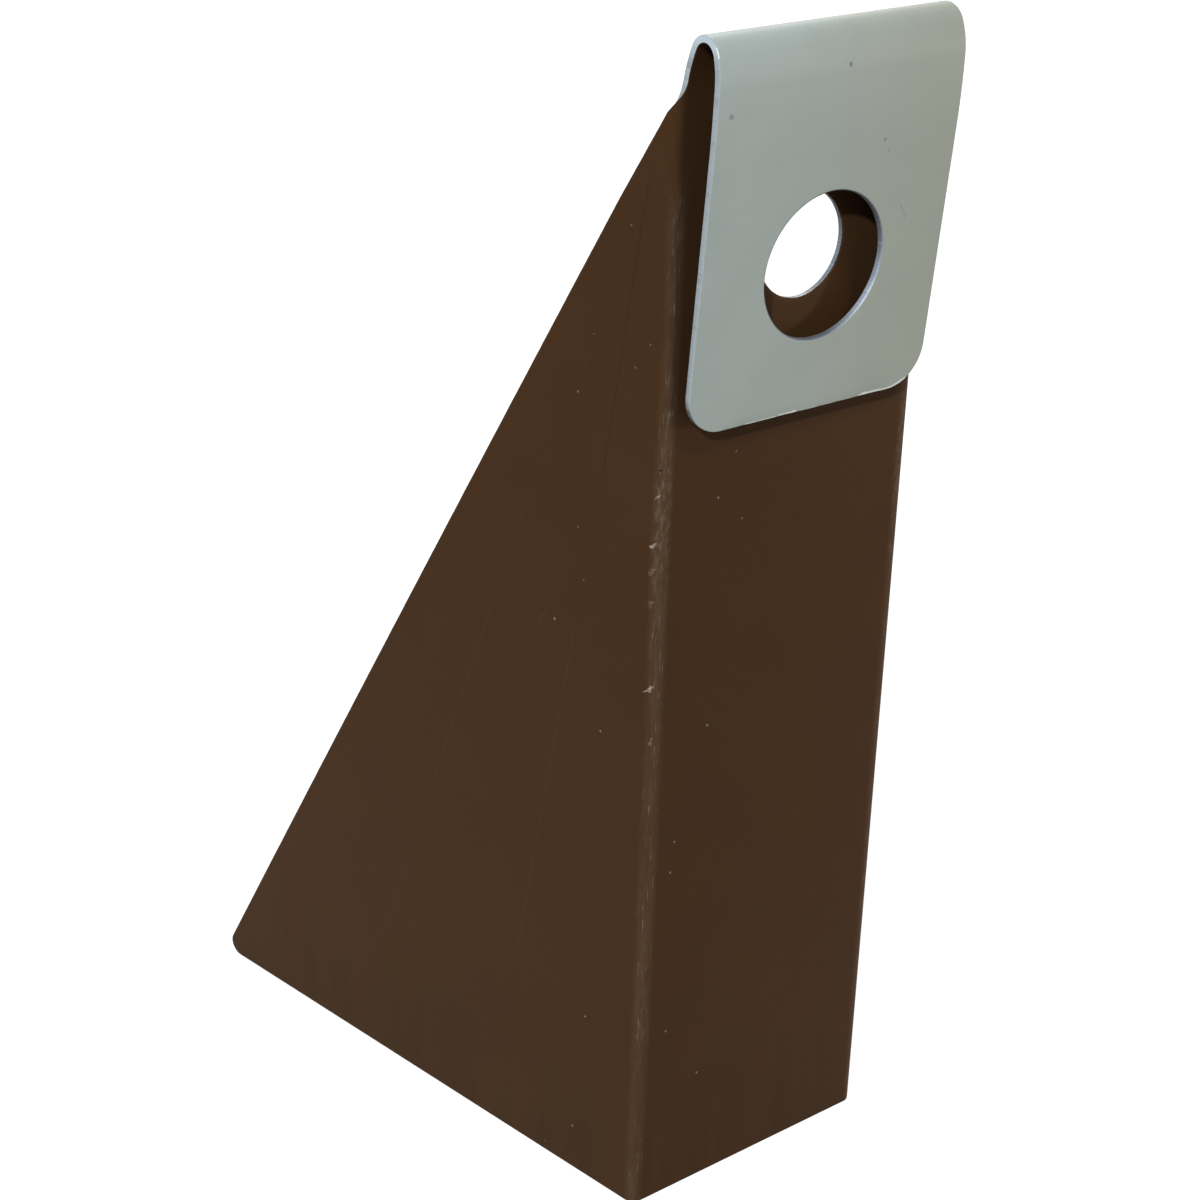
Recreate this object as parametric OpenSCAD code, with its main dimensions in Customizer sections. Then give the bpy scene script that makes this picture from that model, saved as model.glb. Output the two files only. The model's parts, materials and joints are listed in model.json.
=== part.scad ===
// Gutter wedge: one folded sheet that sets a gutter bracket plumb on a sloping fascia.
// Millimetres. X runs across the front face, Y from the front face back towards the roof, Z up.
// The origin is the middle of the front face's bottom edge, on its front skin.

/* [Sheet] */
// Thickness of the coated sheet
sheet_t = 0.7; // [0.5:0.05:1]
// Inside radius of the two long folds beside the front face
fold_r = 0.6; // [0.4:0.1:1.2]

/* [Wedge] */
// Width of the front face, between the sharp corners in which its outer skins would meet
face_w = 31; // [26:0.5:45]
// Angle between the front face and the flanges' sloping edges
wedge_angle = 30; // [20:1:40]
// Length of a flange's level bottom edge, from the sharp corner to its sharp heel
base_l = 67.3; // [50:0.1:90]
// Angle by which each flange stands further open than square
splay = 9; // [0:0.5:12]
// Radius of a flange's heel, the corner between its bottom and sloping edges
heel_r = 1.5; // [0.5:0.1:4]
// Height cut off the wedge's tip, below the point where the slope would reach the corner
tip_cut = 1.1; // [0.8:0.1:3]
// Height that the slanting cut loses as it crosses a long fold
notch_h = 1.1; // [0.5:0.1:3]

/* [Rolled tab] */
// Inside radius of the easy bend that leans the tab forward above the wedge's tip
lean_r = 11; // [6:0.5:20]
// Angle of that easy bend
lean_angle = 25; // [15:1:35]
// Inside radius of the tight turn over the top
turn_r = 1.3; // [1:0.1:3]
// Angle of that tight turn
turn_angle = 137; // [120:1:140]
// Inside radius of the easy bend between the tight turn and the front plate
shoulder_r = 6.6; // [4:0.2:12]
// Length of the flat front plate, from its last bend to its bottom edge
plate_l = 31.8; // [28:0.1:45]
// Gap between the front plate's bottom edge and the front face
plate_gap = 0.95; // [0.5:0.05:2]
// Radius of the front plate's two bottom corners
corner_r = 4; // [1:0.1:8]

/* [Holes] */
// Diameter of the screw hole in the front face
screw_d = 10; // [5:0.1:12]
// Distance from the root of the tab down to the screw hole's centre
screw_drop = 14.6; // [10:0.1:20]
// Diameter of the access hole in the front plate
access_d = 14; // [8:0.1:18]
// Distance from the front plate's bottom edge up to the access hole's centre
access_up = 14; // [11:0.1:18]

/* [Hidden] */
$fn = 96;
// Largest turn between two points of a bend's outline
arc_step = 4;
// How far a cut reaches past the sheet on either side
over = 0.4;
// How far a rounding circle stands past the two lines it joins, so that it crosses them cleanly
crossing = 0.002;

// Outside radius of the long folds, and the angle through which they turn
fold_outer = fold_r + sheet_t;
fold_angle = 90 - splay;
// Distance from a sharp corner to where its fold begins, on the outer skins
setback = fold_outer * tan(fold_angle / 2);
// Width of the flat of the front face, and of the tab that carries on above it
tab_w = face_w - 2 * setback;
// Length of the flat of a flange's bottom edge, from its fold to its sharp heel
flange_l = base_l - setback;
// Height of the root of the tab, where the front face ends
root_z = base_l / tan(wedge_angle) - tip_cut;

// How far in front of the face the tight turn ends, on the tab's inner skin
turn_end = lean_angle + turn_angle;
turn_reach = lean_r * (1 - cos(lean_angle)) + turn_r * (cos(lean_angle) - cos(turn_end));
// Tilt of the front plate from upright that brings its bottom edge to plate_gap
plate_tilt = asin((turn_reach - plate_gap + shoulder_r * cos(turn_end))
                  / sqrt(pow(plate_l, 2) + pow(shoulder_r, 2)))
             + atan(shoulder_r / plate_l);

// A bent strip is a list of moves, each [straight length, inside radius, angle]: the strip
// runs straight and then bends to its left. It sets out from [0, 0] along +X with its
// inner skin on its left and its outer skin sheet_t to its right.
function along(h) = [cos(h), sin(h)];
function right_of(h) = [sin(h), -cos(h)];
function bend_centre(p, h, move) = p + move[0] * along(h) - move[1] * right_of(h);
function bend_end(p, h, move) = bend_centre(p, h, move) + move[1] * right_of(h + move[2]);
// Where the inner skin stands after the first n moves, and which way it then heads
function heading(moves, n, i = 0) = i == n ? 0 : moves[i][2] + heading(moves, n, i + 1);
function place(moves, n) =
    n == 0 ? [0, 0] : bend_end(place(moves, n - 1), heading(moves, n - 1), moves[n - 1]);
// Points of the skin that lies depth to the right of the inner one
function skin(moves, depth) = concat(
    [depth * right_of(0)],
    [for (i = [0 : len(moves) - 1])
        let (h = heading(moves, i),
             centre = bend_centre(place(moves, i), h, moves[i]),
             steps = ceil(moves[i][2] / arc_step))
        for (j = [moves[i][0] > 0 ? 0 : 1 : steps])
            centre + (moves[i][1] + depth) * right_of(h + (steps > 0 ? moves[i][2] * j / steps : 0))]
);
function reversed(points) = [for (i = [len(points) - 1 : -1 : 0]) points[i]];
function mirrored(points) = [for (p = points) [-p[0], p[1]]];
function without_first(points) = [for (i = [1 : len(points) - 1]) points[i]];

// The middle strip seen from its side: the front face, the three bends over the top and
// the front plate that hangs from them
tab_moves = [
    [root_z, lean_r, lean_angle],
    [0, turn_r, turn_angle],
    [0, shoulder_r, 180 + plate_tilt - turn_end],
    [plate_l, 0, 0],
];
// One half of the wedge seen from above: half the front face, a long fold and a flange
side_moves = [
    [tab_w / 2, fold_r, fold_angle],
    [flange_l, 0, 0],
];

// Puts children in the frame of the front plate: Z down the plate from its last bend,
// Y from its inner skin to its outer one
module on_front_plate() {
    top = place(tab_moves, 3);
    translate([0, -top[1], top[0]])
        rotate([heading(tab_moves, 3), 0, 0])
            children();
}

// Waste outside a round corner at [0, 0], centred on its circle and lying towards +X +Y
module corner_waste(r) {
    difference() {
        square(r + over);
        circle(r = r + crossing);
    }
}

module front_plate_waste() {
    for (side = [0, 1])
        mirror([side, 0, 0])
            translate([tab_w / 2 - corner_r, sheet_t + over, plate_l - corner_r])
                rotate([90, 0, 0])
                    linear_extrude(sheet_t + 2 * over)
                        corner_waste(corner_r);
    translate([0, -over, plate_l - access_up])
        rotate([-90, 0, 0])
            cylinder(d = access_d, h = sheet_t + 2 * over);
}

module screw_hole_waste() {
    translate([0, -over, root_z - screw_drop])
        rotate([-90, 0, 0])
            cylinder(d = screw_d, h = sheet_t + 2 * over);
}

// The front face and the tab rolled over in front of it, as one strip
module middle_strip() {
    difference() {
        translate([-tab_w / 2, 0, 0])
            rotate([0, -90, 180])
                linear_extrude(tab_w)
                    polygon(concat(skin(tab_moves, 0), reversed(skin(tab_moves, sheet_t))));
        on_front_plate()
            front_plate_waste();
        screw_hole_waste();
    }
}

// Waste above a flange's slope and round its heel: X back along the flange, Y up
module slope_waste() {
    heel_angle = 90 - wedge_angle;
    tangent_l = heel_r / tan(heel_angle / 2);
    heel_x = flange_l - tangent_l;
    rise = 1 / tan(wedge_angle);
    difference() {
        polygon([
            [heel_x, -over],
            [heel_x, heel_r],
            [flange_l - tangent_l * cos(heel_angle), tangent_l * sin(heel_angle)],
            [-fold_outer, (flange_l + fold_outer) * rise],
            [flange_l + over, (flange_l + fold_outer) * rise],
            [flange_l + over, -over],
        ]);
        translate([heel_x, heel_r])
            circle(r = heel_r + crossing);
    }
}

// Waste of the slanting cut that frees the tab's edge: it falls away across the long fold
module notch_waste() {
    chord = sqrt(2) * fold_outer;
    translate([tab_w / 2, 0, root_z])
        rotate([0, 0, 45])
            rotate([0, atan(notch_h / chord), 0])
                translate([0, -chord, 0])
                    cube([2 * chord, 2 * chord, notch_h + tip_cut]);
}

// Waste of one flange, on the +X side
module flange_waste() {
    corner = place(side_moves, 1);
    translate([corner[0], corner[1] + sheet_t, 0])
        rotate([0, 0, fold_angle])
            translate([0, over, 0])
                rotate([90, 0, 0])
                    linear_extrude(sheet_t + 2 * over)
                        slope_waste();
    notch_waste();
}

// The front face with a long fold and a flange on each side
module channel() {
    outer = without_first(skin(side_moves, sheet_t));
    inner = without_first(skin(side_moves, 0));
    difference() {
        linear_extrude(root_z)
            translate([0, sheet_t])
                polygon(concat(outer, reversed(inner), mirrored(inner), reversed(mirrored(outer))));
        for (side = [0, 1])
            mirror([side, 0, 0])
                flange_waste();
        screw_hole_waste();
    }
}

// The whole wedge: one blank, folded along two sides and rolled over at the top
module folded_sheet() {
    color("#40301f")
        union() {
            channel();
            middle_strip();
        }
}

folded_sheet();
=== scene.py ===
"""Gutter wedge: the finish of one folded, coated sheet around its solid model.

The sheet is worked out on its flat blank, in millimetres: u runs across the blank and v
along its middle strip, from the front face's bottom edge up and over the rolled tab to the
front plate's edge. Depth runs through the sheet, from the brown topcoat at 0 to the grey
backcoat at the sheet's thickness. One folding rule puts every point of the blank in place.
"""
import json
import logging
from dataclasses import dataclass, field
from enum import Enum, IntEnum

import bmesh
import bpy
import numpy as np
from mathutils import Matrix


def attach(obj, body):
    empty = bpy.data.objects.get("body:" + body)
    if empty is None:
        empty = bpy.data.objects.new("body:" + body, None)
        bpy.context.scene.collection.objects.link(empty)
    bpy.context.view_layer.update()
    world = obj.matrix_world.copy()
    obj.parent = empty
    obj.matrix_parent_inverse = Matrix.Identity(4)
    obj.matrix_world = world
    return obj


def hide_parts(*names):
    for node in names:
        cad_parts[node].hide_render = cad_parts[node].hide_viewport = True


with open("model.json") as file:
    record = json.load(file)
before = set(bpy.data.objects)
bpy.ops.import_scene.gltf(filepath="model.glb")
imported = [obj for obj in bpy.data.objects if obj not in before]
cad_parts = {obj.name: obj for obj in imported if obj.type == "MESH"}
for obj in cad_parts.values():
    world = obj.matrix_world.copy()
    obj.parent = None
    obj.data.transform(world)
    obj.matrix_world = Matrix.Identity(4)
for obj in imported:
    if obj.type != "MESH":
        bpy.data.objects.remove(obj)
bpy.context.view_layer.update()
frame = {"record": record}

LOG = logging.getLogger("gutter_wedge")
MM = 0.001
BODY = "root"
NODE = "folded_sheet"
EASE_STEPS = 9
MIRROR = (-1.0, 1.0)
SEEN_RAYS = ("Is Camera Ray", "Is Glossy Ray", "Is Transmission Ray")

Colour = tuple[float, float, float]
Pairs = tuple[tuple[float, float], ...]


class Coat(IntEnum):
    """Which finish a face of the sheet takes: its place in the mesh's list of materials."""

    TOP = 0
    BACK = 1
    CUT = 2
    PUNCHED = 3


class Side(Enum):
    """The two flanges, as the sign of u on the blank."""

    LEFT = -1.0
    RIGHT = 1.0


def mount(name: str) -> dict:
    """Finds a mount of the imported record.

    Args:
        name: the mount's name.

    Returns:
        The mount's entry, with its place, axis and sizes.
    """
    return next(entry for entry in frame["record"]["mounts"] if entry["name"] == name)


@dataclass(frozen=True)
class Bend:
    """One bend of the tab: radius of the topcoat's skin and the angle turned, in degrees."""

    radius: float
    angle: float

    @property
    def length(self) -> float:
        """Length of blank that the bend takes up, measured on the topcoat's skin."""
        return self.radius * np.radians(self.angle)


@dataclass(frozen=True)
class Blank:
    """The flat blank and its folds, in millimetres and degrees."""

    sheet_t: float = 0.7
    fold_r: float = 0.6
    face_w: float = 31.0
    wedge_angle: float = 30.0
    base_l: float = 67.3
    splay: float = 9.0
    heel_r: float = 1.5
    tip_cut: float = 1.1
    notch_h: float = 1.1
    cut_up: float = 0.2
    crossing_rise: float = 1.52
    relief_r: float = 2.8
    lean: Bend = Bend(11.0, 25.0)
    turn: Bend = Bend(1.3, 137.0)
    shoulder_r: float = 6.6
    plate_l: float = 31.8
    plate_gap: float = 0.95
    corner_r: float = 4.0

    @property
    def fold_outer(self) -> float:
        """Radius of the topcoat's skin in a long fold."""
        return self.fold_r + self.sheet_t

    @property
    def fold_middle(self) -> float:
        """Radius of the middle of the sheet in a long fold."""
        return self.fold_r + self.sheet_t / 2

    @property
    def fold_turn(self) -> float:
        """Angle of a long fold, in radians."""
        return np.radians(90.0 - self.splay)

    @property
    def fold_l(self) -> float:
        """Width of blank that a long fold takes up."""
        return self.fold_middle * self.fold_turn

    @property
    def setback(self) -> float:
        """Distance from the sharp corner of the topcoat's skins to where their fold begins."""
        return self.fold_outer * np.tan(self.fold_turn / 2)

    @property
    def half_w(self) -> float:
        """Half the width of the flat face, and of the tab above it."""
        return self.face_w / 2 - self.setback

    @property
    def flange_l(self) -> float:
        """Length of a flange's bottom edge, from its fold to its sharp heel."""
        return self.base_l - self.setback

    @property
    def rise(self) -> float:
        """Height that a flange's sloping edge gains for each millimetre towards the fold."""
        return 1.0 / np.tan(np.radians(self.wedge_angle))

    @property
    def root_v(self) -> float:
        """Height of the root of the tab."""
        return self.base_l * self.rise - self.tip_cut

    @property
    def plate_tilt(self) -> float:
        """Angle of the front plate from upright, in degrees, that leaves plate_gap at its edge.

        The first two bends carry the skin forward by reach, and the tilt then follows from
        plate_l sin(tilt) - shoulder_r cos(tilt) = reach - plate_gap + shoulder_r cos(turn_end).

        Returns:
            The tilt.
        """
        lean_end = np.radians(self.lean.angle)
        turn_end = np.radians(self.lean.angle + self.turn.angle)
        reach = (self.lean.radius * (1 - np.cos(lean_end))
                 + self.turn.radius * (np.cos(lean_end) - np.cos(turn_end)))
        across = reach - self.plate_gap + self.shoulder_r * np.cos(turn_end)
        tilt = (np.arcsin(across / np.hypot(self.plate_l, self.shoulder_r))
                + np.arctan(self.shoulder_r / self.plate_l))
        return float(np.degrees(tilt))

    @property
    def bends(self) -> tuple[Bend, ...]:
        """The tab's bends in order; the last turns what is left to the front plate's tilt."""
        left = 180.0 + self.plate_tilt - self.lean.angle - self.turn.angle
        return (self.lean, self.turn, Bend(self.shoulder_r, left))

    @property
    def plate_v(self) -> float:
        """Where the flat front plate begins."""
        return self.root_v + sum(bend.length for bend in self.bends)

    @property
    def end_v(self) -> float:
        """The front plate's edge, where the middle strip ends."""
        return self.plate_v + self.plate_l

    @property
    def crest_v(self) -> float:
        """Height at which the slanting cut meets a fold, cut_up above the solid's."""
        grown = self.fold_outer * (np.sin(self.fold_turn) + 1 - np.cos(self.fold_turn))
        return self.root_v - self.notch_slope * grown + self.cut_up

    @property
    def notch_slope(self) -> float:
        """Height that the slanting cut loses for each millimetre along X or Y."""
        return self.notch_h / (2 * self.fold_outer)

    @property
    def flange_notch_slope(self) -> float:
        """Height that the slanting cut loses for each millimetre along a flange."""
        return self.notch_slope * (np.cos(self.fold_turn) + np.sin(self.fold_turn))

    @property
    def relief_v(self) -> float:
        """Height at which the tab's side leaves the relief, an arc that it touches.

        Across the fold the cut climbs at crossing_rise to a corner at the tab's side. An
        arc of radius relief_r rounds that corner, and touches both lines at r tan(bend / 2).
        """
        corner = self.crest_v + self.crossing_rise * self.fold_l
        return corner + self.relief_r * np.tan(np.arctan(1 / self.crossing_rise) / 2)


@dataclass(frozen=True)
class Unevenness:
    """How far the real sheet strays from its drawing, in millimetres.

    The tab leans a little to the right, the strip draws in where it is bent, the roll over
    the top is a little flatter than its arcs, the front plate's edge is cut a little out of
    square, and the flanges bulge. The waist gives pairs of distance past the root and how
    far each side draws in there, and the slump gives how far the strip sets back and down.
    The ripples give pairs of length and phase, of the cut edges in millimetres and of the
    punched holes in radians round their centres.
    """

    waist: Pairs = (
        (-9.0, 0.0), (-1.0, 0.22), (2.0, 0.20), (4.2, 0.35), (6.0, 0.37), (8.2, 0.18), (10.5, 0.07),
        (14.0, 0.04), (44.0, 0.06))
    slump: tuple[tuple[float, float, float], ...] = (
        (0.0, 0.0, 0.0), (3.0, 0.16, 0.03), (5.0, 0.30, 0.05), (7.0, 0.40, 0.11), (9.0, 0.35, 0.10),
        (11.0, 0.21, 0.07), (13.0, 0.09, 0.03), (16.0, 0.0, 0.0))
    end_shift: float = 0.22
    flange_bulge: float = 0.28
    screw_off: tuple[float, float] = (-0.10, 0.12)
    access_off: tuple[float, float] = (-0.03, 0.0)
    plate_slant: float = 0.13
    plate_wave: float = 0.035
    edge_wave: float = 0.012
    plate_ripples: Pairs = ((1.9, 0.4), (0.83, 1.7), (0.37, 0.2))
    edge_ripples: Pairs = ((0.9, 0.3), (0.41, 1.1), (0.23, 2.0))
    edge_ripple_slant: float = 2.1
    calm_by_root: float = 3.0
    punch_lobes: Pairs = ((1 / 7, 0.0), (1 / 19, 1.0))


class FoldedBlank:
    """The folding rule: where a point of the flat blank lies on the folded wedge."""

    def __init__(self, blank: Blank, uneven: Unevenness) -> None:
        """Keeps the blank's sizes.

        Args:
            blank: sizes of the blank and its folds.
            uneven: how the real sheet strays from them.
        """
        self.blank = blank
        self.uneven = uneven

    def tab(self, v: np.ndarray, depth: np.ndarray) -> tuple[np.ndarray, np.ndarray]:
        """Carries the middle strip over the tab's bends.

        At heading H the strip runs along (Y, Z) = (-sin H, cos H) and the backcoat lies
        towards n(H) = (cos H, sin H). A bend of radius r moves the skin by
        r (n(H + turned) - n(H)), a flat by its length, and depth adds depth n(H).

        Args:
            v: distance along the strip.
            depth: distance behind the topcoat's skin.

        Returns:
            The Y and Z coordinates.
        """
        run = v - self.blank.root_v
        start = 0.0
        heading = np.zeros_like(v)
        y = np.zeros_like(v)
        z = np.minimum(v, self.blank.root_v)
        for bend in self.blank.bends:
            turned = np.clip(run, 0.0, bend.length) / bend.radius
            y = y + bend.radius * (np.cos(start + turned) - np.cos(start))
            z = z + bend.radius * (np.sin(start + turned) - np.sin(start))
            heading = heading + turned
            start += np.radians(bend.angle)
            run = run - bend.length
        flat = np.maximum(run, 0.0)
        y = y - flat * np.sin(start) + depth * np.cos(heading)
        z = z + flat * np.cos(start) + depth * np.sin(heading)
        return y, z

    def flank(self, u: np.ndarray, depth: np.ndarray) -> tuple[np.ndarray, np.ndarray]:
        """Carries the blank round a long fold and out along the flange, as if it had no tab.

        Beyond half_w the middle of the sheet turns on an arc of radius fold_middle, by
        a = (u - half_w) / fold_middle, and then runs straight on for the rest.

        Args:
            u: distance across the blank.
            depth: distance behind the topcoat's skin.

        Returns:
            The X and Y coordinates.
        """
        blank = self.blank
        beyond = np.abs(u) - blank.half_w
        turned = np.clip(beyond / blank.fold_middle, 0.0, blank.fold_turn)
        along = np.maximum(beyond - blank.fold_l, 0.0)
        radius = blank.fold_outer - depth
        x = np.minimum(np.abs(u), blank.half_w) + radius * np.sin(turned) + along * np.cos(turned)
        y = blank.fold_outer - radius * np.cos(turned) + along * np.sin(turned)
        return np.sign(u) * x, y

    def place(self, points: np.ndarray, depth: np.ndarray | float) -> np.ndarray:
        """Puts points of the blank in their place on the wedge.

        The long fold comes first. How far it carries a point behind the front skin is then
        the point's depth on the tab's bends, which leaves all below the root as it was. A
        flange bulges sideways by 4 bulge (share of its length) (share of its height), so
        most at the middle of its sloping edge and not at all along its fold and bottom.

        Args:
            points: array of (u, v), any shape with 2 as its last size.
            depth: distance behind the topcoat's skin, one for each point or for all.

        Returns:
            Array of (x, y, z) in metres.
        """
        blank, uneven = self.blank, self.uneven
        u, v = points[..., 0], points[..., 1]
        depth = np.broadcast_to(np.asarray(depth, dtype=float), u.shape)
        slant = uneven.plate_slant * np.clip((v - blank.plate_v) / blank.plate_l, 0.0, 1.0) ** 2
        v = v + slant * u / blank.half_w
        x, behind = self.flank(u, depth)
        y, z = self.tab(v, behind)
        past = v - blank.root_v
        narrow = eased(past, *np.array(uneven.waist).T)
        stops, backwards, down = np.array(uneven.slump).T
        y = y + eased(past, stops, backwards)
        z = z - eased(past, stops, down)
        shift = np.interp(v, (blank.root_v, blank.end_v), (0.0, uneven.end_shift))
        back = np.maximum(np.abs(u) - blank.half_w - blank.fold_l, 0.0) / blank.flange_l
        shift = shift + np.sign(u) * 4 * uneven.flange_bulge * back * v / blank.crest_v
        return np.stack([x * (1 - narrow / blank.half_w) + shift, y, z], axis=-1) * MM

    def along_plate(self, place: np.ndarray) -> float:
        """Finds how far along the strip a point of the front plate lies.

        Args:
            place: the point's (x, y, z) in metres.

        Returns:
            The point's v, from the plate's top and the plate's own direction.
        """
        top = self.place(np.array([0.0, self.blank.plate_v]), 0.0)
        end = self.place(np.array([0.0, self.blank.end_v]), 0.0)
        return self.blank.plate_v + float((np.asarray(place) - top) @ unit(end - top)) / MM


class Patchwork:
    """Gathers grids of the blank into one closed mesh."""

    def __init__(self, folded: FoldedBlank) -> None:
        """Starts with no grid.

        Args:
            folded: the folding rule.
        """
        self.folded = folded
        self.places: list[np.ndarray] = []
        self.flats: list[np.ndarray] = []
        self.quads: list[np.ndarray] = []
        self.coats: list[np.ndarray] = []
        self.count = 0

    def add(self, flat: np.ndarray, depth: np.ndarray | float, coat: np.ndarray | Coat) -> None:
        """Adds one grid of the blank.

        Args:
            flat: (u, v) of the grid's corners, of shape (rows, columns, 2).
            depth: distance behind the topcoat's skin, one for each corner or for all.
            coat: the finish, one for each row of faces or for all.
        """
        rows, columns = flat.shape[:2]
        corner = np.arange(rows * columns).reshape(rows, columns) + self.count
        quads = np.stack([corner[:-1, :-1], corner[1:, :-1], corner[1:, 1:], corner[:-1, 1:]], axis=-1)
        coats = np.broadcast_to(np.asarray(coat).reshape(-1, 1), (rows - 1, columns - 1))
        self.places.append(self.folded.place(flat, depth).reshape(-1, 3))
        self.flats.append(flat.reshape(-1, 2))
        self.quads.append(quads.reshape(-1, 4))
        self.coats.append(coats.reshape(-1))
        self.count += rows * columns

    def mesh(self, name: str, merge: float) -> bpy.types.Mesh:
        """Writes the grids into one mesh and joins them where they meet.

        Args:
            name: the mesh's name.
            merge: corners closer than this are one, in metres.

        Returns:
            The closed mesh, with the blank's (u, v) in millimetres as its UV map.
        """
        places = np.concatenate(self.places)
        flats = np.concatenate(self.flats)
        quads = np.concatenate(self.quads)
        mesh = bpy.data.meshes.new(name)
        mesh.vertices.add(len(places))
        mesh.vertices.foreach_set("co", places.astype(np.float32).ravel())
        mesh.loops.add(quads.size)
        mesh.loops.foreach_set("vertex_index", quads.astype(np.int32).ravel())
        mesh.polygons.add(len(quads))
        mesh.polygons.foreach_set("loop_start", np.arange(0, quads.size, 4, dtype=np.int32))
        mesh.polygons.foreach_set("material_index", np.concatenate(self.coats).astype(np.int32))
        mesh.uv_layers.new(name="blank")
        mesh.update(calc_edges=True)
        mesh.uv_layers["blank"].data.foreach_set("uv", flats[quads.ravel()].astype(np.float32).ravel())
        work = bmesh.new()
        work.from_mesh(mesh)
        bmesh.ops.remove_doubles(work, verts=work.verts[:], dist=merge)
        bmesh.ops.recalc_face_normals(work, faces=work.faces[:])
        open_edges = sum(1 for edge in work.edges if len(edge.link_faces) != 2)
        work.to_mesh(mesh)
        work.free()
        mesh.shade_smooth()
        LOG.info("%s: %d faces, %d open edges", name, len(mesh.polygons), open_edges)
        return mesh


def pairs(u: np.ndarray | float, v: np.ndarray | float) -> np.ndarray:
    """Joins u and v into points of the blank. Either may be one number for all of them."""
    return np.stack(np.broadcast_arrays(u, v), axis=-1)


def bearing(turn: np.ndarray) -> np.ndarray:
    """Gives the way (cos, sin) at each angle."""
    return pairs(np.cos(turn), np.sin(turn))


def unit(ways: np.ndarray) -> np.ndarray:
    """Gives each way the length 1."""
    return ways / np.linalg.norm(ways, axis=-1, keepdims=True)


def grid(across: np.ndarray, along: np.ndarray) -> np.ndarray:
    """Lays a rectangular grid on the blank.

    Args:
        across: the columns' u.
        along: the rows' v.

    Returns:
        The corners, of shape (rows, columns, 2): every v with every u.
    """
    return np.stack(np.meshgrid(across, along), axis=-1)


def ruled(start: np.ndarray, end: np.ndarray, shares: np.ndarray) -> np.ndarray:
    """Rules straight rows between two lines: start + share (end - start).

    Args:
        start: points of the first line, of shape (n, 2).
        end: points of the second line, as many.
        shares: how far along each row its points lie, from 0 to 1.

    Returns:
        The corners, of shape (n, len(shares), 2).
    """
    return start[:, None, :] + shares[None, :, None] * (end - start)[:, None, :]


def both_ways(half: np.ndarray) -> np.ndarray:
    """Mirrors rising values that start at 0, so that they run from -last to last."""
    return np.concatenate([-half[:0:-1], half])


def eased(at: np.ndarray, stops: np.ndarray, values: np.ndarray, reach: float = 0.8) -> np.ndarray:
    """Runs straight from stop to stop, with the corners rounded by a mean over +-reach.

    Args:
        at: where the values are wanted, any shape.
        stops: rising places.
        values: what holds at each of them.
        reach: half the width of the mean.

    Returns:
        The eased values, in the shape of at.
    """
    window = np.linspace(-reach, reach, EASE_STEPS)
    return np.interp(np.asarray(at)[..., None] + window, stops, values).mean(axis=-1)


def ripple(at: np.ndarray, waves: Pairs) -> np.ndarray:
    """Adds sine waves: the mean of sin(at / length + phase) over (length, phase)."""
    return sum(np.sin(at / length + phase) for length, phase in waves) / len(waves)


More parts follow.
